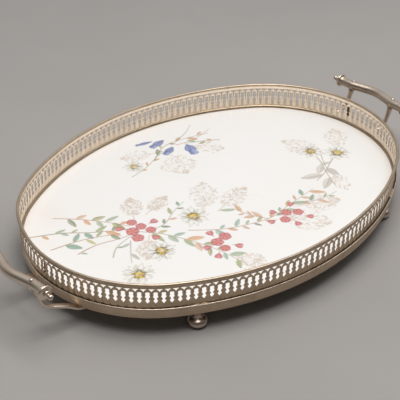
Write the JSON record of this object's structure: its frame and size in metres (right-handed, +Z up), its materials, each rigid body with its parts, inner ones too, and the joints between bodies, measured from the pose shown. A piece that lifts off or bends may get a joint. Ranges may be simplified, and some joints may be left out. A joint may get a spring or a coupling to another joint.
{
  "type": "serving tray",
  "caption": "Oval serving tray: a glazed ceramic plaque in a pierced metal gallery with bun feet and two bowed tube handles.",
  "frame": {"origin": "middle of the tray at table level, under the feet", "axes": "+X along the tray through both handles, +Y across it, +Z up"},
  "size_m": [0.5256, 0.3244, 0.0643],
  "materials": {
    "plaque": "white glaze over a painted flower spray",
    "gallery": "aged nickel plate, satin",
    "base_ring": "aged nickel plate, satin",
    "fittings": "aged nickel plate, polished by use",
    "fasteners": "dull",
    "felt": "pressed felt"
  },
  "bodies": {
    "root": {"plaque": "plaque", "packing_strip": "felt", "base_ring": "base_ring", "gallery_front": "gallery", "gallery_back": "gallery", "rim_bead": "gallery", "inner_bead": "gallery", "foot_screws": "fasteners", "foot_clips": "base_ring", "arm_screws": "fasteners", "arm_rivets": "fittings", "tube_left": "fittings", "tube_right": "fittings", "foot_left_front": "fittings", "arm_left_front": "fittings", "cap_left_front": "fittings", "finial_left_front": "fittings", "foot_right_front": "fittings", "arm_right_front": "fittings", "cap_right_front": "fittings", "finial_right_front": "fittings", "foot_left_back": "fittings", "arm_left_back": "fittings", "cap_left_back": "fittings", "finial_left_back": "fittings", "foot_right_back": "fittings", "arm_right_back": "fittings", "cap_right_back": "fittings", "finial_right_back": "fittings"}
  },
  "joints": []
}
